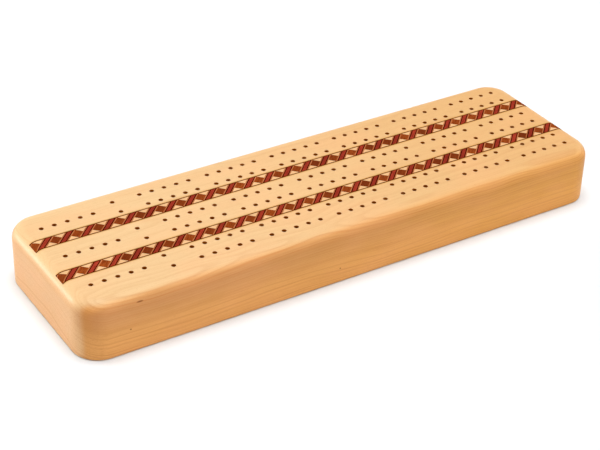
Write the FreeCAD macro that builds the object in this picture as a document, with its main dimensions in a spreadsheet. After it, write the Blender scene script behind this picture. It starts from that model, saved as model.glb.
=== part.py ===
"""Three-lane cribbage board: a solid maple block with drilled lanes, two marquetry
strips let into the top, and a peg store in the underside behind a sliding lid.

Millimetres.  Origin at the middle of the base, +Z up, +X along the board towards the
last hole of each lane, -Y the front long side.
"""
import FreeCAD, Part
import Sketcher
import math
import os

ORIGIN = -1          # the sketch's own origin point and horizontal axis
VERTICAL = -2        # the sketch's vertical axis
START, END, CENTRE = 1, 2, 3

DIMENSIONS = {
    # the block
    "board_length": 344.5,
    "board_width": 102.7,
    "board_height": 35.7,
    "corner_radius": 15.9,
    "top_round": 7.7,
    "base_round": 1.0,
    # peg holes: groups of five along each row, two rows to a lane, three lanes
    "hole_diameter": 2.78,
    "hole_depth": 12.7,
    "hole_pitch": 7.94,
    "holes_in_group": 5,
    "group_pitch": 44.13,
    "groups_in_row": 6,
    "row_spacing": 11.18,
    "rows_in_lane": 2,
    "lane_pitch": 31.17,
    "lanes": 3,
    "lane_start": -94.13,
    "start_setback": 17.25,
    "game_hole_start": -157.5,
    "game_hole_pitch": 7.88,
    "game_holes": 5,
    # marquetry strips between the lanes
    "strip_offset": 16.98,
    "strip_width": 9.4,
    "strip_thickness": 1.55,
    "border_width": 0.8,
    "pattern_pitch": 12.895,
    "pattern_repeats": 29,
    "pattern_shift": -0.55,
    "bar_angle": 45.0,
    "bar_width": 2.0,
    "dark_line": 0.65,
    "pale_line": 0.65,
    # dovetailed channel and its lid, both open to the +X end
    "channel_length": 144.0,
    "channel_mouth": 30.0,
    "channel_depth": 4.4,
    "channel_flare": 14.0,
    "lid_thickness": 3.6,
    "lid_recess": 0.4,
    "lid_clearance": 0.3,
    "lid_setback": 0.5,
    "notch_length": 18.0,
    "notch_width": 6.0,
    "notch_depth": 1.4,
    "notch_inset": 14.0,
    # peg store above the channel
    "store_length": 124.0,
    "store_width": 22.0,
    "store_depth": 11.0,
    "store_radius": 5.0,
    "store_end_wall": 12.0,
    # turned pegs
    "peg_length": 32.0,
    "peg_shank": 21.0,
    "peg_tip_radius": 1.1,
    "peg_tip_chamfer": 0.4,
    "peg_root_radius": 1.65,
    "peg_collar_radius": 2.15,
    "peg_collar_height": 1.2,
    "peg_waist_radius": 1.35,
    "peg_head_radius": 2.7,
    "peg_spacing": 6.5,
    "peg_trio_pitch": 35.5,
    "peg_lift": 0.35,
}

PEG_METALS = ("brass", "steel", "copper")
PEG_PLACES = ("front", "middle", "rear")
STRIP_SIDES = {"front": -1, "rear": 1}


def cell(alias):
    """The expression that reads one named cell of the sheet."""
    return f"Dimensions.{alias}"


def write_sheet(doc):
    """Put every driving dimension in the spreadsheet under its own alias."""
    sheet = doc.addObject("Spreadsheet::Sheet", "Dimensions")
    for row, (alias, value) in enumerate(DIMENSIONS.items(), start=1):
        sheet.set(f"A{row}", alias.replace("_", " "))
        sheet.set(f"B{row}", str(value))
        sheet.setAlias(f"B{row}", alias)
    doc.recompute()
    return sheet


class Reader:
    """Reads the sheet's cells by alias, for places that are worked out in code."""

    def __init__(self, sheet):
        self.sheet = sheet

    def __getattr__(self, alias):
        return float(self.sheet.get(alias))


def origin_feature(body, role):
    """One of the body's own origin planes or axes."""
    return next(item for item in body.Origin.OriginFeatures if item.Role == role)


def new_body(doc, label):
    body = doc.addObject("PartDesign::Body", label)
    body.Label = label
    return body


def new_sketch(body, name, plane, **offset):
    """A sketch on an origin plane, moved along its own axes by expressions."""
    sketch = body.newObject("Sketcher::SketchObject", name)
    sketch.AttachmentSupport = [(origin_feature(body, plane), "")]
    sketch.MapMode = "FlatFace"
    for axis, expression in offset.items():
        sketch.setExpression(f"AttachmentOffset.Base.{axis}", expression)
    return sketch


def bind(sketch, name, constraint, expression):
    """Add a dimension to the sketch, name it and tie it to an expression."""
    index = sketch.addConstraint(constraint)
    sketch.renameConstraint(index, name)
    sketch.setExpression(f"Constraints.{name}", expression)


def add_polygon(sketch, points):
    """Closed run of straight edges; returns the edges' indices."""
    corners = [FreeCAD.Vector(x, y, 0) for x, y in points]
    count = len(corners)
    first = len(sketch.Geometry)
    for index, corner in enumerate(corners):
        sketch.addGeometry(Part.LineSegment(corner, corners[(index + 1) % count]))
    for index in range(count):
        following = first + (index + 1) % count
        sketch.addConstraint(Sketcher.Constraint("Coincident", first + index, END, following, START))
    return [first + index for index in range(count)]


def add_rectangle(sketch, length, width, length_cell, width_cell):
    """Rectangle centred on the sketch's origin."""
    half_length, half_width = length / 2, width / 2
    bottom, right, top, left = add_polygon(sketch, [
        (-half_length, -half_width),
        (half_length, -half_width),
        (half_length, half_width),
        (-half_length, half_width),
    ])
    for edge in (bottom, top):
        sketch.addConstraint(Sketcher.Constraint("Horizontal", edge))
    for edge in (right, left):
        sketch.addConstraint(Sketcher.Constraint("Vertical", edge))
    sketch.addConstraint(Sketcher.Constraint("Symmetric", bottom, START, top, START, ORIGIN, START))
    bind(sketch, "length", Sketcher.Constraint("DistanceX", bottom, START, bottom, END, length), length_cell)
    bind(sketch, "width", Sketcher.Constraint("DistanceY", right, START, right, END, width), width_cell)


def add_rounded_rectangle(sketch, length, width, radius, cells):
    """Rectangle with quarter-round corners, centred on the sketch's origin."""
    inner_x, inner_y = length / 2 - radius, width / 2 - radius
    outer_x, outer_y = length / 2, width / 2
    sides = [
        ((-inner_x, -outer_y), (inner_x, -outer_y)),
        ((outer_x, -inner_y), (outer_x, inner_y)),
        ((inner_x, outer_y), (-inner_x, outer_y)),
        ((-outer_x, inner_y), (-outer_x, -inner_y)),
    ]
    centres = [(inner_x, -inner_y), (inner_x, inner_y), (-inner_x, inner_y), (-inner_x, -inner_y)]
    for quarter, (side, centre) in enumerate(zip(sides, centres)):
        ends = [FreeCAD.Vector(x, y, 0) for x, y in side]
        sketch.addGeometry(Part.LineSegment(*ends))
        circle = Part.Circle(FreeCAD.Vector(*centre, 0), FreeCAD.Vector(0, 0, 1), radius)
        start = (quarter - 1) * math.pi / 2
        sketch.addGeometry(Part.ArcOfCircle(circle, start, start + math.pi / 2))
    count = 2 * len(sides)
    for edge in range(count):
        sketch.addConstraint(Sketcher.Constraint("Tangent", edge, END, (edge + 1) % count, START))
    bottom, right, top, left = range(0, count, 2)
    arcs = range(1, count, 2)
    for edge in (bottom, top):
        sketch.addConstraint(Sketcher.Constraint("Horizontal", edge))
    for edge in (right, left):
        sketch.addConstraint(Sketcher.Constraint("Vertical", edge))
    for arc in arcs[1:]:
        sketch.addConstraint(Sketcher.Constraint("Equal", arcs[0], arc))
    sketch.addConstraint(Sketcher.Constraint("Symmetric", arcs[0], CENTRE, arcs[2], CENTRE, ORIGIN, START))
    bind(sketch, "length", Sketcher.Constraint("DistanceX", left, START, right, START, length), cells[0])
    bind(sketch, "width", Sketcher.Constraint("DistanceY", bottom, START, top, START, width), cells[1])
    bind(sketch, "radius", Sketcher.Constraint("Radius", arcs[0], radius), cells[2])


def add_trapezoid(sketch, base, top, height, rise, cells):
    """Dovetail section, symmetric about the vertical axis, standing `rise` above the origin."""
    low, _, high, _ = add_polygon(sketch, [
        (-base / 2, rise),
        (base / 2, rise),
        (top / 2, rise + height),
        (-top / 2, rise + height),
    ])
    for edge in (low, high):
        sketch.addConstraint(Sketcher.Constraint("Symmetric", edge, START, edge, END, VERTICAL))
    bind(sketch, "base", Sketcher.Constraint("DistanceX", low, START, low, END, base), cells["base"])
    bind(sketch, "top", Sketcher.Constraint("DistanceX", high, END, high, START, top), cells["top"])
    bind(sketch, "height", Sketcher.Constraint("DistanceY", low, END, high, START, height), cells["height"])
    if "rise" in cells:
        bind(sketch, "rise", Sketcher.Constraint("DistanceY", ORIGIN, START, low, START, rise), cells["rise"])
    else:
        sketch.addConstraint(Sketcher.Constraint("PointOnObject", low, START, ORIGIN))


def add_pad(body, sketch, name, length, midplane=False):
    pad = body.newObject("PartDesign::Pad", name)
    pad.Profile = sketch
    pad.Midplane = midplane
    pad.setExpression("Length", length)
    body.Tip = pad
    return pad


def add_pocket(body, sketch, name, length, upwards=False):
    """Cut against the sketch's normal, or along it when `upwards` is set."""
    before = body.Shape.Volume
    pocket = body.newObject("PartDesign::Pocket", name)
    pocket.Profile = sketch
    pocket.Reversed = upwards
    pocket.setExpression("Length", length)
    body.Tip = pocket
    body.Document.recompute()
    if body.Shape.Volume >= before:
        raise RuntimeError(f"{name} removes nothing")
    return pocket


def add_edge_round(body, base, name, height, radius):
    """Round every edge of `base` that lies in the plane at the given height."""
    edges = []
    for index, edge in enumerate(base.Shape.Edges, start=1):
        if all(abs(vertex.Z - height) < 1e-6 for vertex in edge.Vertexes):
            edges.append(f"Edge{index}")
    fillet = body.newObject("PartDesign::Fillet", name)
    fillet.Base = (base, edges)
    fillet.setExpression("Radius", radius)
    body.Tip = fillet
    body.Document.recompute()
    return fillet


def add_line_pattern(body, name, axis, spacing, occurrences, originals=None):
    """Equally spaced repeats along one of the body's axes."""
    pattern = body.newObject("PartDesign::LinearPattern", name)
    if originals:
        pattern.Originals = originals
    pattern.Direction = (origin_feature(body, axis), [""])
    pattern.Mode = "Spacing"
    pattern.setExpression("Offset", spacing)
    pattern.setExpression("Occurrences", occurrences)
    return pattern


def drill(body, name, x, y, repeats):
    """One blind hole in the top at (x, y), then its repeats along the rows and lanes."""
    sketch = new_sketch(body, f"{name}_centre", "XY_Plane", x=x, y=y, z=cell("board_height"))
    centre = FreeCAD.Vector(0, 0, 0)
    radius = DIMENSIONS["hole_diameter"] / 2
    sketch.addGeometry(Part.Circle(centre, FreeCAD.Vector(0, 0, 1), radius))
    sketch.addConstraint(Sketcher.Constraint("Coincident", 0, CENTRE, ORIGIN, START))
    bind(sketch, "diameter", Sketcher.Constraint("Diameter", 0, 2 * radius), cell("hole_diameter"))
    body.Document.recompute()
    before = body.Shape.Volume
    hole = body.newObject("PartDesign::Hole", f"{name}_hole")
    hole.Profile = sketch
    hole.Threaded = False
    hole.DepthType = "Dimension"
    hole.DrillPoint = "Angled"
    hole.DrillPointAngle = 118
    hole.setExpression("Diameter", cell("hole_diameter"))
    hole.setExpression("Depth", cell("hole_depth"))
    body.Tip = hole
    body.Document.recompute()
    patterns = [
        add_line_pattern(body, f"{name}_{step}", axis, cell(spacing), cell(count))
        for step, (axis, spacing, count) in enumerate(repeats, start=1)
    ]
    grid = body.newObject("PartDesign::MultiTransform", f"{name}_holes")
    grid.Originals = [hole]
    grid.Transformations = patterns
    body.Tip = grid
    body.Document.recompute()
    if body.Shape.Volume >= before:
        raise RuntimeError(f"{name} holes remove nothing")


def build_board(doc, size):
    """The maple block: rounded, grooved for the strips, drilled and hollowed below."""
    body = new_body(doc, "board_body")
    plan = new_sketch(body, "plan", "XY_Plane")
    cells = [cell("board_length"), cell("board_width"), cell("corner_radius")]
    add_rounded_rectangle(plan, size.board_length, size.board_width, size.corner_radius, cells)
    block = add_pad(body, plan, "block", cell("board_height"))
    doc.recompute()
    eased = add_edge_round(body, block, "top_rounding", size.board_height, cell("top_round"))
    add_edge_round(body, eased, "base_easing", 0.0, cell("base_round"))

    for side, sign in STRIP_SIDES.items():
        groove = new_sketch(body, f"{side}_groove", "XY_Plane",
                            y=f"{sign} * {cell('strip_offset')}", z=cell("board_height"))
        add_rectangle(groove, size.board_length, size.strip_width, cell("board_length"), cell("strip_width"))
        add_pocket(body, groove, f"{side}_groove_cut", cell("strip_thickness"))

    flare = f"tan({cell('channel_flare')} * 1 deg)"
    channel = new_sketch(body, "channel_section", "YZ_Plane", z=f"{cell('board_length')} / 2")
    spread = 2 * size.channel_depth * math.tan(math.radians(size.channel_flare))
    add_trapezoid(channel, size.channel_mouth, size.channel_mouth + spread, size.channel_depth, 0.0, {
        "base": cell("channel_mouth"),
        "top": f"{cell('channel_mouth')} + 2 * {cell('channel_depth')} * {flare}",
        "height": cell("channel_depth"),
    })
    add_pocket(body, channel, "channel_cut", cell("channel_length"))

    store = new_sketch(body, "store_outline", "XY_Plane", z=cell("channel_depth"),
                       x=f"({cell('board_length')} - {cell('store_length')}) / 2 - {cell('store_end_wall')}")
    cells = [cell("store_length"), cell("store_width"), cell("store_radius")]
    add_rounded_rectangle(store, size.store_length, size.store_width, size.store_radius, cells)
    add_pocket(body, store, "store_cut", cell("store_depth"), upwards=True)

    front_row = f"-{cell('lane_pitch')} - {cell('row_spacing')} / 2"
    across = [("Y_Axis", "row_spacing", "rows_in_lane"), ("Y_Axis", "lane_pitch", "lanes")]
    along = [("X_Axis", "hole_pitch", "holes_in_group"), ("X_Axis", "group_pitch", "groups_in_row")]
    drill(body, "lane", cell("lane_start"), front_row, along + across)
    drill(body, "start", f"{cell('lane_start')} - {cell('start_setback')}", front_row, across)
    games = [("X_Axis", "game_hole_pitch", "game_holes"), ("Y_Axis", "lane_pitch", "lanes")]
    drill(body, "game", cell("game_hole_start"), f"-{cell('lane_pitch')}", games)
    return body


def add_strip_profile(sketch, size):
    """Side view of a strip: flat below, and rounded down at each end with the board's top."""
    half = size.board_length / 2
    radius = size.top_round
    top = size.board_height
    bottom = top - size.strip_thickness
    drop = math.acos((radius - size.strip_thickness) / radius)
    inset = half - radius
    reach = inset + radius * math.sin(drop)
    sketch.addGeometry(Part.LineSegment(FreeCAD.Vector(-reach, bottom, 0), FreeCAD.Vector(reach, bottom, 0)))
    right = Part.Circle(FreeCAD.Vector(inset, top - radius, 0), FreeCAD.Vector(0, 0, 1), radius)
    sketch.addGeometry(Part.ArcOfCircle(right, math.pi / 2 - drop, math.pi / 2))
    sketch.addGeometry(Part.LineSegment(FreeCAD.Vector(inset, top, 0), FreeCAD.Vector(-inset, top, 0)))
    left = Part.Circle(FreeCAD.Vector(-inset, top - radius, 0), FreeCAD.Vector(0, 0, 1), radius)
    sketch.addGeometry(Part.ArcOfCircle(left, math.pi / 2, math.pi / 2 + drop))
    base, right_arc, crown, left_arc = range(4)
    sketch.addConstraint(Sketcher.Constraint("Coincident", base, END, right_arc, START))
    sketch.addConstraint(Sketcher.Constraint("Tangent", right_arc, END, crown, START))
    sketch.addConstraint(Sketcher.Constraint("Tangent", crown, END, left_arc, START))
    sketch.addConstraint(Sketcher.Constraint("Coincident", left_arc, END, base, START))
    sketch.addConstraint(Sketcher.Constraint("Horizontal", base))
    sketch.addConstraint(Sketcher.Constraint("Symmetric", crown, START, crown, END, VERTICAL))
    sketch.addConstraint(Sketcher.Constraint("Equal", right_arc, left_arc))
    bind(sketch, "radius", Sketcher.Constraint("Radius", right_arc, radius), cell("top_round"))
    bind(sketch, "crown", Sketcher.Constraint("DistanceX", crown, END, crown, START, 2 * inset),
         f"{cell('board_length')} - 2 * {cell('top_round')}")
    bind(sketch, "thickness", Sketcher.Constraint("DistanceY", base, START, crown, END, top - bottom),
         cell("strip_thickness"))
    bind(sketch, "level", Sketcher.Constraint("DistanceY", ORIGIN, START, crown, END, top),
         cell("board_height"))


def build_strip_blank(doc, size, label, width, offset):
    """A full-length slat of the strip's thickness, `width` across, centred at Y = `offset`."""
    body = new_body(doc, label)
    profile = new_sketch(body, f"{label}_profile", "XZ_Plane", z=f"-({offset})")
    add_strip_profile(profile, size)
    add_pad(body, profile, f"{label}_slat", width, midplane=True)
    return body


def add_leaning_box(body, name, size, length, width, centre, aside):
    """A box leaning at the bars' angle, `aside` from the leaning line through `centre`."""
    box = body.newObject("PartDesign::AdditiveBox", name)
    box.setExpression("Length", length[1])
    box.setExpression("Width", width[1])
    box.setExpression("Height", f"3 * {cell('strip_thickness')}")
    lean = FreeCAD.Rotation(FreeCAD.Vector(0, 0, 1), size.bar_angle)
    corner = lean.multVec(FreeCAD.Vector(-length[0] / 2, aside - width[0] / 2, 0))
    base = size.board_height - 2 * size.strip_thickness
    box.Placement = FreeCAD.Placement(FreeCAD.Vector(centre[0], centre[1], base) + corner, lean)
    return box


def pattern_sizes(size):
    """Widths square to the bars, each as (millimetres, expression)."""
    lean = math.radians(size.bar_angle)
    inner = size.strip_width - 2 * size.border_width
    beside_bar = size.bar_width + 2 * (size.dark_line + size.pale_line)
    tile = size.pattern_pitch * math.sin(lean) - beside_bar
    tile_length = (inner - tile * math.cos(lean)) / math.sin(lean)
    angle = f"({cell('bar_angle')} * 1 deg)"
    inner_text = f"({cell('strip_width')} - 2 * {cell('border_width')})"
    lines_text = f"2 * ({cell('dark_line')} + {cell('pale_line')})"
    tile_text = f"({cell('pattern_pitch')} * sin({angle}) - {cell('bar_width')} - {lines_text})"
    length_text = f"({inner_text} - {tile_text} * cos({angle})) / sin({angle})"
    return {
        "run": (3 * inner, f"3 * {inner_text}"),
        "bar": (size.bar_width, cell("bar_width")),
        "dark": (size.dark_line, cell("dark_line")),
        "pale": (size.pale_line, cell("pale_line")),
        "tile": (tile, tile_text),
        "tile_length": (tile_length, length_text),
    }


def build_row(doc, size, label, length, width, centre, aside=0.0):
    """A leaning box, `aside` from the line through `centre`, repeated along the strip."""
    body = new_body(doc, label)
    box = add_leaning_box(body, f"{label}_piece", size, length, width, centre, aside)
    doc.recompute()
    body.Tip = add_line_pattern(body, f"{label}_repeats", "X_Axis", cell("pattern_pitch"),
                                cell("pattern_repeats"), [box])
    return body


def build_line_rows(doc, size, label, length, width, centre, aside):
    """Two rows of lines, one along each side of the bars."""
    pair = doc.addObject("Part::Compound", label)
    left = build_row(doc, size, f"{label}_left", length, width, centre, aside)
    right = build_row(doc, size, f"{label}_right", length, width, centre, -aside)
    pair.Links = [left, right]
    return pair


def add_boolean(doc, kind, label, base, tool):
    result = doc.addObject(f"Part::{kind}", label)
    result.Base = base
    result.Tool = tool
    result.Label = label
    return result


def build_pattern(doc, size, side, sign, blank):
    """The strip's five kinds of coloured wood, each repeated and cut to the strip's form."""
    widths = pattern_sizes(size)
    run = widths["run"]
    first_tile = size.pattern_shift - (size.pattern_repeats - 1) * size.pattern_pitch / 2
    tile_centre = (first_tile, sign * size.strip_offset)
    bar_centre = (first_tile - size.pattern_pitch / 2, sign * size.strip_offset)
    dark_aside = (size.bar_width + size.dark_line) / 2
    pale_aside = size.bar_width / 2 + size.dark_line + size.pale_line / 2
    bars = build_row(doc, size, f"{side}_bar_row", run, widths["bar"], bar_centre)
    dark = build_line_rows(doc, size, f"{side}_dark_rows", run, widths["dark"], bar_centre, dark_aside)
    pale = build_line_rows(doc, size, f"{side}_pale_rows", run, widths["pale"], bar_centre, pale_aside)
    tiles = build_row(doc, size, f"{side}_tile_row", widths["tile_length"], widths["tile"], tile_centre)
    fields = build_row(doc, size, f"{side}_field_row", run, widths["tile"], tile_centre)
    rows = {
        "red_bars": bars,
        "dark_lines": dark,
        "pale_lines": pale,
        "brown_tiles": tiles,
        "cream_triangles": add_boolean(doc, "Cut", f"{side}_triangle_row", fields, tiles),
    }
    return [add_boolean(doc, "Common", f"{side}_strip_{kind}", row, blank) for kind, row in rows.items()]


def build_strip(doc, size, side, sign):
    """One marquetry strip: two border lines with the leaning pattern between them."""
    middle = f"{sign} * {cell('strip_offset')}"
    inner = f"{cell('strip_width')} - 2 * {cell('border_width')}"
    blank = build_strip_blank(doc, size, f"{side}_strip_blank", inner, middle)
    pieces = build_pattern(doc, size, side, sign, blank)
    edge = f"({cell('strip_width')} - {cell('border_width')}) / 2"
    for name, way in (("outer", 1), ("inner", -1)):
        offset = f"{middle} + {sign * way} * {edge}"
        pieces.append(build_strip_blank(doc, size, f"{side}_strip_{name}_line", cell("border_width"), offset))
    return pieces


def build_lid(doc, size):
    """Dovetailed lid of the peg store, with a thumb notch near the board's end."""
    body = new_body(doc, "storage_lid")
    slope = math.tan(math.radians(size.channel_flare))
    ease = size.lid_clearance / math.cos(math.radians(size.channel_flare))
    base = size.channel_mouth + 2 * (size.lid_recess * slope - ease)
    top = base + 2 * size.lid_thickness * slope
    flare = f"({cell('channel_flare')} * 1 deg)"
    base_text = (f"{cell('channel_mouth')} + 2 * ({cell('lid_recess')} * tan({flare})"
                 f" - {cell('lid_clearance')} / cos({flare}))")
    section = new_sketch(body, "lid_section", "YZ_Plane",
                         z=f"{cell('board_length')} / 2 - {cell('channel_length')} + {cell('lid_clearance')}")
    add_trapezoid(section, base, top, size.lid_thickness, size.lid_recess, {
        "base": base_text,
        "top": f"{base_text} + 2 * {cell('lid_thickness')} * tan({flare})",
        "height": cell("lid_thickness"),
        "rise": cell("lid_recess"),
    })
    length = f"{cell('channel_length')} - {cell('lid_clearance')} - {cell('lid_setback')}"
    add_pad(body, section, "lid_slide", length)
    doc.recompute()
    notch = new_sketch(body, "thumb_notch", "XY_Plane", z=cell("lid_recess"),
                       x=f"{cell('board_length')} / 2 - {cell('notch_inset')}")
    cells = [cell("notch_width"), cell("notch_length"), f"0.48 * {cell('notch_width')}"]
    add_rounded_rectangle(notch, size.notch_width, size.notch_length, 0.48 * size.notch_width, cells)
    add_pocket(body, notch, "notch_cut", cell("notch_depth"), upwards=True)
    return body


def add_peg_profile(sketch, size):
    """Half section of a peg: tapered shank, collar, coned waist and ball head."""
    head_level = size.peg_length - size.peg_head_radius
    collar_top = size.peg_shank + size.peg_collar_height
    grip = math.acos(size.peg_waist_radius / size.peg_head_radius)
    neck_level = head_level - size.peg_head_radius * math.sin(grip)
    points = [
        (0.0, 0.0),
        (size.peg_tip_radius - size.peg_tip_chamfer, 0.0),
        (size.peg_tip_radius, size.peg_tip_chamfer),
        (size.peg_root_radius, size.peg_shank),
        (size.peg_collar_radius, size.peg_shank),
        (size.peg_collar_radius, collar_top),
        (size.peg_waist_radius, collar_top),
        (size.peg_waist_radius, neck_level),
    ]
    corners = [FreeCAD.Vector(x, y, 0) for x, y in points]
    for near, far in zip(corners, corners[1:]):
        sketch.addGeometry(Part.LineSegment(near, far))
    ball = Part.Circle(FreeCAD.Vector(0, head_level, 0), FreeCAD.Vector(0, 0, 1), size.peg_head_radius)
    sketch.addGeometry(Part.ArcOfCircle(ball, -grip, math.pi / 2))
    sketch.addGeometry(Part.LineSegment(FreeCAD.Vector(0, size.peg_length, 0), corners[0]))
    tip, chamfer, shank, shoulder, collar, ledge, waist, head, axis = range(9)
    for edge in range(axis):
        sketch.addConstraint(Sketcher.Constraint("Coincident", edge, END, edge + 1, START))
    sketch.addConstraint(Sketcher.Constraint("Coincident", axis, END, tip, START))
    sketch.addConstraint(Sketcher.Constraint("Coincident", tip, START, ORIGIN, START))
    for edge in (tip, shoulder, ledge):
        sketch.addConstraint(Sketcher.Constraint("Horizontal", edge))
    for edge in (collar, waist, axis):
        sketch.addConstraint(Sketcher.Constraint("Vertical", edge))
    sketch.addConstraint(Sketcher.Constraint("PointOnObject", head, CENTRE, VERTICAL))
    across = {
        "tip_radius": (chamfer, "peg_tip_radius"),
        "root_radius": (shank, "peg_root_radius"),
        "collar_radius": (shoulder, "peg_collar_radius"),
        "waist_radius": (ledge, "peg_waist_radius"),
    }
    for name, (edge, alias) in across.items():
        radius = getattr(size, alias)
        bind(sketch, name, Sketcher.Constraint("DistanceX", ORIGIN, START, edge, END, radius), cell(alias))
    chamfer_size = size.peg_tip_chamfer
    bind(sketch, "chamfer_run", Sketcher.Constraint("DistanceX", chamfer, START, chamfer, END, chamfer_size),
         cell("peg_tip_chamfer"))
    bind(sketch, "chamfer_rise", Sketcher.Constraint("DistanceY", chamfer, START, chamfer, END, chamfer_size),
         cell("peg_tip_chamfer"))
    bind(sketch, "shank", Sketcher.Constraint("DistanceY", ORIGIN, START, shank, END, size.peg_shank),
         cell("peg_shank"))
    bind(sketch, "collar_height",
         Sketcher.Constraint("DistanceY", collar, START, collar, END, size.peg_collar_height),
         cell("peg_collar_height"))
    bind(sketch, "length", Sketcher.Constraint("DistanceY", axis, END, axis, START, size.peg_length),
         cell("peg_length"))
    bind(sketch, "head_radius", Sketcher.Constraint("Radius", head, size.peg_head_radius),
         cell("peg_head_radius"))


def build_peg(doc, size, label, x, y):
    """One peg lying on the lid, its tip at x, touching down at its tip and its head."""
    body = new_body(doc, label)
    profile = new_sketch(body, f"{label}_profile", "XZ_Plane")
    add_peg_profile(profile, size)
    turned = body.newObject("PartDesign::Revolution", f"{label}_turning")
    turned.Profile = profile
    turned.ReferenceAxis = (profile, ["V_Axis"])
    turned.Angle = 360
    body.Tip = turned
    bearing_length = size.peg_length - size.peg_head_radius - size.peg_tip_chamfer
    tilt = math.asin((size.peg_head_radius - size.peg_tip_radius) / bearing_length)
    heading = FreeCAD.Vector(math.cos(tilt), 0, math.sin(tilt))
    floor = size.lid_recess + size.lid_thickness + size.peg_lift
    tip = FreeCAD.Vector(x, y, floor + size.peg_tip_radius)
    body.Placement = FreeCAD.Placement(tip, FreeCAD.Rotation(FreeCAD.Vector(0, 0, 1), heading))
    return body


def build_pegs(doc, size):
    """Three trios, one per player, end to end along the store."""
    store_end = size.board_length / 2 - size.store_end_wall
    clear_of_wall = (size.peg_trio_pitch - size.peg_length) / 2
    pegs = []
    for trio, metal in enumerate(PEG_METALS):
        tip_x = store_end - clear_of_wall - size.peg_length - trio * size.peg_trio_pitch
        for place, name in enumerate(PEG_PLACES, start=-1):
            label = f"{metal}_peg_{name}"
            pegs.append(build_peg(doc, size, label, tip_x, place * size.peg_spacing))
    return pegs


def check(doc, pieces):
    """Stop if any feature failed or any piece has no sound solid."""
    for item in doc.Objects:
        if {"Invalid", "Error"} & set(item.State):
            raise RuntimeError(f"{item.Label} failed: {item.State}")
    for piece in pieces:
        shape = piece.Shape
        if shape.isNull() or not shape.isValid() or not shape.Solids:
            raise RuntimeError(f"{piece.Label} has no valid solid")


def write_steps(pieces):
    os.makedirs("parts", exist_ok=True)
    for piece in pieces:
        piece.Shape.exportStep(f"parts/{piece.Label}.step")
        print(f"{piece.Label}: {len(piece.Shape.Solids)} solids, {piece.Shape.Volume:.1f} mm3")


def main():
    doc = FreeCAD.newDocument("cribbage_board")
    size = Reader(write_sheet(doc))
    pieces = [build_board(doc, size), build_lid(doc, size)]
    for side, sign in STRIP_SIDES.items():
        pieces += build_strip(doc, size, side, sign)
    pieces += build_pegs(doc, size)
    doc.recompute()
    check(doc, pieces)
    write_steps(pieces)


main()
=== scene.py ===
import math

import bpy
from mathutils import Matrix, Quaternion, Vector

# the camera, in metres in the board's own frame
CAMERA_PLACE = Vector((-0.44768, -0.68066, 0.52621))
VIEW_DIRECTION = Vector((0.45712, 0.70774, -0.53865))
CAMERA_ROLL = -1.732
LENS = 98.08
SENSOR = 36.0
CLIP_NEAR = 0.05
CLIP_FAR = 20.0

# the studio dome, as smooth steps: from, to, and the strengths at those two.
# It is bright low down, dimmer toward two sides, dark higher up, and has a box overhead.
DIM_SIDE = (-0.83, -0.10, -0.55)
DIM_FALL = (-0.61, 0.52, 1.0, 0.27)
REAR_SIDE = (0.5, 0.866, 0.0)
REAR_FALL = (-0.3, 0.7, 1.0, 0.35)
HEIGHT_FALL = (0.30, 0.57, 2.74, 0.15)
OVERHEAD_BOX = (0.93, 0.95, 0.0, 8.8)

# the lamp that lights the left end, in metres and watts
END_LAMP_PLACE = (-0.90, 0.88, 0.20)
END_LAMP_AIM = (-0.1, 0.0, 0.02)
END_LAMP_SIZE = 0.36
END_LAMP_POWER = 9.4

# the floor, just under the board: slightly cool, against the warm light off the board
FLOOR_HALF_SIZE = 6.0
FLOOR_LEVEL = -0.0001
FLOOR_COLOUR = (0.76, 0.79, 0.81, 1.0)

# the marquetry's repeat, in millimetres and degrees
STRIP_OFFSET = 16.98
STRIP_HALF_WIDTH = 4.7
PATTERN_PITCH = 12.895
PATTERN_SHIFT = -0.55
BAR_ANGLE = 45.0

# how far finish gathers beside a strip, and only above which height, in millimetres
JOINT_REACH = 1.3
JOINT_FROM = 30.0

# the part of the board that is drilled, in millimetres: its half-sizes, and the heights
# that hold the holes' walls and floors, but not the top
DRILLED_HALF_LENGTH = 161.5
DRILLED_HALF_WIDTH = 41.0
DRILLED_FROM = 21.0
DRILLED_TO = 35.62

# pin knots in the front side: centre and half-sizes, in millimetres
PIN_KNOTS = [
    ((-145.0, -51.3, 15.0), (0.55, 0.8, 0.55)),
    ((-139.0, -50.9, 30.6), (2.1, 0.9, 0.45)),
    ((-13.3, -51.3, 9.4), (0.5, 0.8, 0.5)),
]

# a thin lacquer, which shows where it mirrors the lamp
COAT = 0.035
COAT_ROUGHNESS = 0.18

# the depth of the surface's texture, in metres
FIBRE_DEPTH = 0.00012
VENEER_DEPTH = 0.0001
TURNING_DEPTH = 0.00005

# the maple's colours: flat grain, side grain, end grain and late wood
MAPLE_TONES = ("dbb787", "d99b58", "dcad7c", "b9743a")
# painted shade, darker high on the front and back sides
PAINTED_SHADE_SIDE = "a8764a"
# painted shade toward the right end, on the top and on the sides
PAINTED_SHADE_RIGHT_TOP = "d09b59"
PAINTED_SHADE_RIGHT_SIDE = "d6983f"
CLOUD = "f2a878"
PORE = "8a5228"
RAY_END = "a5642f"
PIN_KNOT = "6e3a14"
JOINT_FINISH = "c08418"
BURNT_MOUTH = "ba6010"
# deep in the holes: burnished brown, darker as painted shade
BURNT_DEEP_SHADE = "944003"

# each veneer's light and dark colours, the lean of its grain, where its pieces change over
# in the repeat, and how far its pieces differ in tone
VENEERS = {
    "red_bars": ("a43a27", "6f2116", BAR_ANGLE, 0.0, 0.6),
    "dark_lines": ("4c1206", "280803", BAR_ANGLE, 0.0, 0.6),
    "pale_lines": ("bb7247", "954e27", BAR_ANGLE, 0.0, 0.6),
    "brown_tiles": ("98471b", "60250f", BAR_ANGLE, 0.5, 0.85),
    "cream_triangles": ("e0b685", "cb9c6b", 0.0, 0.5, 0.5),
    "outer_line": ("5c2404", "421702", 0.0, 0.0, 0.0),
    "inner_line": ("5c2404", "421702", 0.0, 0.0, 0.0),
}

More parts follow.
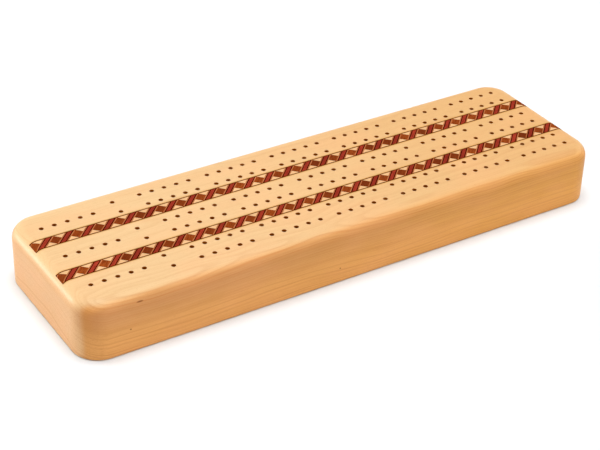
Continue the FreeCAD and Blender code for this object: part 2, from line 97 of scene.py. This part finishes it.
# each metal's bright and tarnished colours, and its roughness
METALS = {
    "brass": ("e3b55c", "a8762c", 0.24),
    "steel": ("d0d2d4", "8f9396", 0.28),
    "copper": ("d98a63", "93492a", 0.24),
}


def colour(text):
    """Linear RGBA from a colour written as six hexadecimal digits."""
    channels = [int(text[place:place + 2], 16) / 255 for place in (0, 2, 4)]
    linear = [c / 12.92 if c <= 0.04045 else ((c + 0.055) / 1.055) ** 2.4 for c in channels]
    return (*linear, 1.0)


class Recipe:
    """A material's node tree, written one step at a time."""

    def __init__(self, name, roughness=0.4, metallic=0.0, coat=0.0, specular=0.1):
        self.material = bpy.data.materials.new(name)
        self.material.use_nodes = True
        self.tree = self.material.node_tree
        self.shader = self.tree.nodes["Principled BSDF"]
        self.shader.inputs["Roughness"].default_value = roughness
        self.shader.inputs["Metallic"].default_value = metallic
        self.shader.inputs["Coat Weight"].default_value = coat
        self.shader.inputs["Coat Roughness"].default_value = COAT_ROUGHNESS
        self.shader.inputs["Specular IOR Level"].default_value = specular

    def add(self, kind, inputs=(), **settings):
        node = self.tree.nodes.new(f"ShaderNode{kind}")
        for name, value in settings.items():
            setattr(node, name, value)
        for place, value in enumerate(inputs):
            self.put(node.inputs[place], value)
        return node

    def put(self, socket, value):
        if isinstance(value, bpy.types.NodeSocket):
            self.tree.links.new(value, socket)
        else:
            socket.default_value = value

    def place(self):
        """Position on the object, in millimetres."""
        coordinates = self.add("TexCoord").outputs["Object"]
        return self.vector("MULTIPLY", coordinates, (1000.0, 1000.0, 1000.0))

    def facing(self):
        """How squarely the surface faces along X, Y and Z, each from 0 to 1."""
        normal = self.add("TexCoord").outputs["Normal"]
        return self.split(self.vector("MULTIPLY", normal, normal))

    def vector(self, operation, first, second):
        return self.add("VectorMath", [first, second], operation=operation).outputs["Vector"]

    def length(self, vector):
        return self.add("VectorMath", [vector], operation="LENGTH").outputs["Value"]

    def turned(self, vector, degrees):
        """The position turned about the vertical."""
        node = self.add("VectorRotate", rotation_type="Z_AXIS")
        self.put(node.inputs["Vector"], vector)
        node.inputs["Angle"].default_value = math.radians(degrees)
        return node.outputs["Vector"]

    def split(self, vector):
        outputs = self.add("SeparateXYZ", [vector]).outputs
        return outputs["X"], outputs["Y"], outputs["Z"]

    def join(self, x, y, z):
        return self.add("CombineXYZ", [x, y, z]).outputs["Vector"]

    def math(self, operation, *values):
        return self.add("Math", values, operation=operation).outputs["Value"]

    def product(self, first, *others):
        for value in others:
            first = self.math("MULTIPLY", first, value)
        return first

    def size_of(self, value):
        return self.math("ABSOLUTE", value)

    def noise(self, vector, stretch, detail=2.0, roughness=0.5):
        """Noise whose features measure one over `stretch`, in millimetres."""
        node = self.add("TexNoise", noise_dimensions="3D")
        self.put(node.inputs["Vector"], self.vector("MULTIPLY", vector, stretch))
        node.inputs["Scale"].default_value = 1.0
        node.inputs["Detail"].default_value = detail
        node.inputs["Roughness"].default_value = roughness
        return node.outputs["Fac"]

    def bands(self, value, scale, detail=1.0):
        """Uneven bands along one measure."""
        node = self.add("TexNoise", noise_dimensions="1D")
        self.put(node.inputs["W"], value)
        node.inputs["Scale"].default_value = scale
        node.inputs["Detail"].default_value = detail
        return node.outputs["Fac"]

    def chance(self, value):
        """The same random number wherever the value is the same."""
        node = self.add("TexWhiteNoise", noise_dimensions="1D")
        self.put(node.inputs["W"], value)
        return node.outputs["Value"]

    def spread(self, value, low, high, out_low=0.0, out_high=1.0):
        """Smooth step from low to high."""
        node = self.add("MapRange", [value, low, high, out_low, out_high],
                        interpolation_type="SMOOTHSTEP", clamp=True)
        return node.outputs["Result"]

    def mix(self, factor, first, second):
        """A colour between two others."""
        node = self.add("Mix", data_type="RGBA")
        colours = [socket for socket in node.inputs if socket.type == "RGBA"]
        for socket, value in zip([node.inputs["Factor"], *colours], [factor, first, second]):
            self.put(socket, value)
        return next(socket for socket in node.outputs if socket.type == "RGBA")

    def bump(self, height, strength, depth):
        node = self.add("Bump")
        node.inputs["Strength"].default_value = strength
        node.inputs["Distance"].default_value = depth
        self.put(node.inputs["Height"], height)
        return node.outputs["Normal"]

    def finish(self, base, roughness, normal):
        self.put(self.shader.inputs["Base Color"], base)
        self.put(self.shader.inputs["Roughness"], roughness)
        self.put(self.shader.inputs["Normal"], normal)
        return self.material


def growth_rings(wood, place, pith, spacing):
    """Thin dark lines at the edge of each year's growth, around a line along the board."""
    drift, ripple, unevenness = 13.0, 3.0, 5.0  # in millimetres, millimetres and years
    section = wood.vector("MULTIPLY", wood.vector("SUBTRACT", place, pith), (0.0, 1.0, 1.0))
    radius = wood.length(section)
    wander = wood.noise(place, (0.006, 0.016, 0.016))
    radius = wood.math("MULTIPLY_ADD", wander, drift, radius)
    tremble = wood.noise(place, (0.022, 0.05, 0.05), 1.0)
    radius = wood.math("MULTIPLY_ADD", tremble, ripple, radius)
    climate = wood.bands(radius, 0.16)
    years = wood.math("MULTIPLY_ADD", climate, unevenness, wood.math("DIVIDE", radius, spacing))
    season = wood.math("FRACT", years)
    late = wood.product(wood.spread(season, 0.35, 0.86), wood.spread(season, 0.88, 1.0, 1.0, 0.0))
    vigour = wood.chance(wood.math("FLOOR", years))
    return wood.product(late, wood.math("MULTIPLY_ADD", vigour, 0.75, 0.25))


def pin_knots(wood, place):
    """How much of a pin knot's colour there is: full inside a knot, none away from it."""
    nearest = 4.0
    for centre, half_sizes in PIN_KNOTS:
        offset = wood.vector("DIVIDE", wood.vector("SUBTRACT", place, centre), half_sizes)
        nearest = wood.math("MINIMUM", wood.length(offset), nearest)
    return wood.product(wood.spread(nearest, 0.55, 1.2, 1.0, 0.0), 0.8)


def joint_line(wood, y, z, facing_z):
    """How near the top's surface is to a strip's long edges, where the finish gathers."""
    across = wood.math("SUBTRACT", wood.size_of(y), STRIP_OFFSET)
    gap = wood.math("SUBTRACT", wood.size_of(across), STRIP_HALF_WIDTH)
    near = wood.spread(wood.size_of(gap), 0.0, JOINT_REACH, 0.6, 0.0)
    on_top = wood.math("GREATER_THAN", z, JOINT_FROM)
    # a strip stops where the rounded edge drops below its veneer
    before_end = wood.spread(facing_z, 0.62, 0.75)
    return wood.product(near, on_top, before_end)


def drilled_walls(wood, x, y, z):
    """One on the walls and floors of the holes, and zero elsewhere."""
    return wood.product(
        wood.math("LESS_THAN", z, DRILLED_TO),
        wood.math("GREATER_THAN", z, DRILLED_FROM),
        wood.math("LESS_THAN", wood.size_of(y), DRILLED_HALF_WIDTH),
        wood.math("LESS_THAN", wood.size_of(x), DRILLED_HALF_LENGTH),
    )


def tone_by_face(wood, x, z, facing, tones):
    """Flat, side and end grain, with painted shade: darker high on the sides, darker at the
    upright corners, and deeper and more orange toward the right end.
    """
    flat, side, end, late = tones
    facing_x, facing_y, facing_z = facing
    upright = wood.math("ADD", facing_y, wood.math("MINIMUM", facing_x, facing_y))
    base = wood.mix(wood.spread(upright, 0.15, 0.85), flat, side)
    base = wood.mix(wood.spread(facing_x, 0.52, 1.02), base, end)
    # painted shade: the front and back sides darker toward the top
    painted_shade_high = wood.product(wood.spread(z, 8.0, 30.0, 0.0, 0.55), wood.spread(facing_y, 0.45, 0.8))
    base = wood.mix(painted_shade_high, base, colour(PAINTED_SHADE_SIDE))
    # painted shade at the upright corners, darker toward the top, in the late wood's colour
    painted_shade_corner = wood.product(facing_x, facing_y, wood.spread(z, 6.0, 28.0, 0.0, 2.1))
    base = wood.mix(painted_shade_corner, base, late)
    # painted shade: deeper and more orange toward the right end, away from the lamp
    painted_shade_right = wood.spread(x, -140.0, 190.0, 0.0, 0.62)
    base = wood.mix(wood.product(painted_shade_right, facing_z), base, colour(PAINTED_SHADE_RIGHT_TOP))
    return wood.mix(wood.product(painted_shade_right, facing_y), base, colour(PAINTED_SHADE_RIGHT_SIDE))


def maple(name, pith=(0.0, 14.0, -190.0), spacing=1.8, drilled=False):
    """Lacquered maple, with year rings about a pith line that runs along the board."""
    tones = [colour(tone) for tone in MAPLE_TONES]
    late_tone = tones[-1]
    wood = Recipe(name, coat=COAT)
    place = wood.place()
    x, y, z = wood.split(place)
    facing_x, facing_y, facing_z = wood.facing()

    # fibres, cloudy figure, pores and ray ends, each drawn out along the board
    fibre = wood.noise(place, (0.03, 1.5, 1.5), 3.0, 0.6)
    cloud = wood.noise(place, (0.020, 0.04, 0.05))
    pores = wood.noise(place, (0.30, 4.5, 4.5))
    rays = wood.noise(place, (0.75, 5.5, 5.5), 0.0)

    base = tone_by_face(wood, x, z, (facing_x, facing_y, facing_z), tones)
    # the rings show least on the top and the ends
    seen = wood.math("MULTIPLY_ADD", facing_z, -0.66, 0.82)
    seen = wood.math("MULTIPLY_ADD", facing_x, -0.52, seen)
    rings = growth_rings(wood, place, pith, spacing)
    base = wood.mix(wood.product(rings, seen), base, late_tone)
    most = wood.math("MULTIPLY_ADD", facing_z, -0.20, 0.32)
    base = wood.mix(wood.product(wood.spread(fibre, 0.42, 0.72), most), base, late_tone)
    base = wood.mix(wood.spread(cloud, 0.35, 0.70, 0.0, 0.14), base, colour(CLOUD))
    base = wood.mix(wood.spread(pores, 0.62, 0.78, 0.0, 0.13), base, colour(PORE))
    base = wood.mix(wood.spread(rays, 0.70, 0.80, 0.0, 0.22), base, colour(RAY_END))
    roughness = wood.spread(fibre, 0.2, 0.8, 0.38, 0.48)

    if drilled:
        base = wood.mix(pin_knots(wood, place), base, colour(PIN_KNOT))
        base = wood.mix(joint_line(wood, y, z, facing_z), base, colour(JOINT_FINISH))
        # the holes are burnished brown by the bit, and darker further in as painted shade
        walls = drilled_walls(wood, x, y, z)
        burn_and_shade = wood.mix(wood.spread(z, 35.6, 32.5), colour(BURNT_MOUTH), colour(BURNT_DEEP_SHADE))
        base = wood.mix(walls, base, burn_and_shade)
        roughness = wood.math("MAXIMUM", roughness, wood.product(walls, 0.7))

    relief = wood.math("MULTIPLY_ADD", pores, -0.5, wood.product(fibre, 0.7))
    return wood.finish(base, roughness, wood.bump(relief, 0.10, FIBRE_DEPTH))


def inlay(name, light, dark, lean, shift, tone):
    """Veneer of one colour: grain along its own lean, and a tone of its own for each piece."""
    wood = Recipe(name, specular=0.0)
    place = wood.place()
    x, y, _ = wood.split(place)
    side = wood.math("SIGN", y)
    across = wood.math("MULTIPLY_ADD", side, -STRIP_OFFSET, y)
    slope = 1.0 / math.tan(math.radians(BAR_ANGLE))
    along = wood.math("MULTIPLY_ADD", across, -slope, x)
    # a number for each piece: its place in the repeat, set apart for the two strips
    repeat = wood.math("FLOOR", wood.math("MULTIPLY_ADD", along, 1.0 / PATTERN_PITCH, shift))
    piece = wood.chance(wood.math("MULTIPLY_ADD", side, 100.5, repeat))
    # each piece is cut from another part of its sheet
    offset = wood.join(0.0, wood.product(piece, 40.0), 0.0)
    grain = wood.vector("ADD", wood.turned(place, -lean), offset)
    streaks = wood.noise(grain, (0.35, 3.4, 3.4), 3.0, 0.6)
    figure = wood.noise(grain, (0.2, 0.85, 0.85), 1.0)
    base = wood.mix(wood.spread(streaks, 0.35, 0.70), colour(light), colour(dark))
    base = wood.mix(wood.spread(figure, 0.35, 0.65, 0.0, 0.35), base, colour(light))
    base = wood.mix(wood.product(piece, tone), base, colour(dark))
    roughness = wood.spread(streaks, 0.2, 0.8, 0.22, 0.34)
    return wood.finish(base, roughness, wood.bump(streaks, 0.12, VENEER_DEPTH))


def turned_metal(name, light, dark, roughness):
    """Metal with the fine rings that turning leaves, and a little tarnish."""
    metal = Recipe(name, metallic=1.0, specular=0.5)
    place = metal.place()
    along = metal.split(place)[0]
    rings = metal.bands(along, 9.0, 2.0)
    tarnish = metal.noise(place, (0.35, 0.35, 0.35), 3.0)
    base = metal.mix(metal.spread(tarnish, 0.40, 0.75, 0.0, 0.6), colour(light), colour(dark))
    base = metal.mix(metal.spread(rings, 0.4, 0.7, 0.0, 0.25), base, colour(dark))
    rough = metal.spread(tarnish, 0.3, 0.8, roughness - 0.06, roughness + 0.12)
    return metal.finish(base, rough, metal.bump(rings, 0.15, TURNING_DEPTH))


def dress(nodes, material):
    for name in nodes:
        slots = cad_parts[name].data.materials
        slots.clear()
        slots.append(material)


def dress_board():
    dress(["board_body"], maple("lacquered_maple", drilled=True))
    dress(["storage_lid"], maple("lid_maple", pith=(0.0, -34.0, -120.0), spacing=1.9))


def dress_strips():
    for kind, (light, dark, lean, shift, tone) in VENEERS.items():
        shift_to_edge = shift - PATTERN_SHIFT / PATTERN_PITCH
        wood = inlay(f"veneer_{kind}", light, dark, lean, shift_to_edge, tone)
        dress([f"{side}_strip_{kind}" for side in ("front", "rear")], wood)


def dress_pegs():
    for metal, (light, dark, roughness) in METALS.items():
        material = turned_metal(f"turned_{metal}", light, dark, roughness)
        dress([f"{metal}_peg_{place}" for place in ("front", "middle", "rear")], material)


def put_in_scene(thing):
    bpy.context.scene.collection.objects.link(thing)


def make_floor():
    mesh = bpy.data.meshes.new("floor")
    corners = [(x * FLOOR_HALF_SIZE, y * FLOOR_HALF_SIZE, FLOOR_LEVEL)
               for x, y in ((-1, -1), (1, -1), (1, 1), (-1, 1))]
    mesh.from_pydata(corners, [], [(0, 1, 2, 3)])
    floor = bpy.data.objects.new("floor", mesh)
    put_in_scene(floor)
    paper = Recipe("pale_floor", roughness=0.9)
    paper.shader.inputs["Base Color"].default_value = FLOOR_COLOUR
    mesh.materials.append(paper.material)


def make_world():
    """The studio dome: its strength depends only on the direction."""
    world = bpy.data.worlds.new("studio")
    world.use_nodes = True
    nodes = world.node_tree.nodes
    links = world.node_tree.links

    def fall(value, limits):
        node = nodes.new("ShaderNodeMapRange")
        node.interpolation_type = "SMOOTHSTEP"
        for name, limit in zip(("From Min", "From Max", "To Min", "To Max"), limits):
            node.inputs[name].default_value = limit
        links.new(value, node.inputs["Value"])
        return node.outputs["Result"]

    def combine(operation, *values):
        node = nodes.new("ShaderNodeMath")
        node.operation = operation
        for socket, value in zip(node.inputs, values):
            links.new(value, socket)
        return node.outputs["Value"]

    def toward(side, limits):
        node = nodes.new("ShaderNodeVectorMath")
        node.operation = "DOT_PRODUCT"
        node.inputs[1].default_value = Vector(side).normalized()
        links.new(direction, node.inputs[0])
        return fall(node.outputs["Value"], limits)

    direction = nodes.new("ShaderNodeTexCoord").outputs["Generated"]
    height = nodes.new("ShaderNodeSeparateXYZ")
    links.new(direction, height.inputs["Vector"])
    around = combine("MULTIPLY", toward(DIM_SIDE, DIM_FALL), toward(REAR_SIDE, REAR_FALL))
    low = fall(height.outputs["Z"], HEIGHT_FALL)
    overhead = fall(height.outputs["Z"], OVERHEAD_BOX)
    background = nodes["Background"]
    background.inputs["Color"].default_value = (1.0, 1.0, 1.0, 1.0)
    links.new(combine("MULTIPLY_ADD", around, low, overhead), background.inputs["Strength"])
    bpy.context.scene.world = world


def make_end_lamp():
    light = bpy.data.lights.new("end_key", "AREA")
    light.shape = "DISK"
    light.size = END_LAMP_SIZE
    light.energy = END_LAMP_POWER
    lamp = bpy.data.objects.new("end_key", light)
    lamp.location = END_LAMP_PLACE
    lamp.rotation_mode = "QUATERNION"
    beam = Vector(END_LAMP_AIM) - Vector(END_LAMP_PLACE)
    lamp.rotation_quaternion = beam.to_track_quat("-Z", "Y")
    put_in_scene(lamp)


def make_camera():
    camera = bpy.data.cameras.new("camera")
    camera.lens = LENS
    camera.sensor_width = SENSOR
    camera.clip_start = CLIP_NEAR
    camera.clip_end = CLIP_FAR
    stand = bpy.data.objects.new("camera", camera)
    stand.location = CAMERA_PLACE
    stand.rotation_mode = "QUATERNION"
    roll = Quaternion(VIEW_DIRECTION.normalized(), math.radians(CAMERA_ROLL))
    stand.rotation_quaternion = roll @ VIEW_DIRECTION.to_track_quat("-Z", "Y")
    put_in_scene(stand)
    bpy.context.scene.camera = stand


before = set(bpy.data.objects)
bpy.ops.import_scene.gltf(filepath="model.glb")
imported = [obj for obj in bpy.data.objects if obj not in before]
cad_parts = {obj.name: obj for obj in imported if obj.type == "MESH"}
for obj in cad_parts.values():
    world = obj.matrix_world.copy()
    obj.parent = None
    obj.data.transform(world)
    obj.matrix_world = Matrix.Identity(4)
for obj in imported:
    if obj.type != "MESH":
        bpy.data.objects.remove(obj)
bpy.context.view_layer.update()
bpy.context.scene.view_settings.view_transform = "Standard"
make_camera()
make_world()
make_end_lamp()
make_floor()
dress_board()
dress_strips()
dress_pegs()
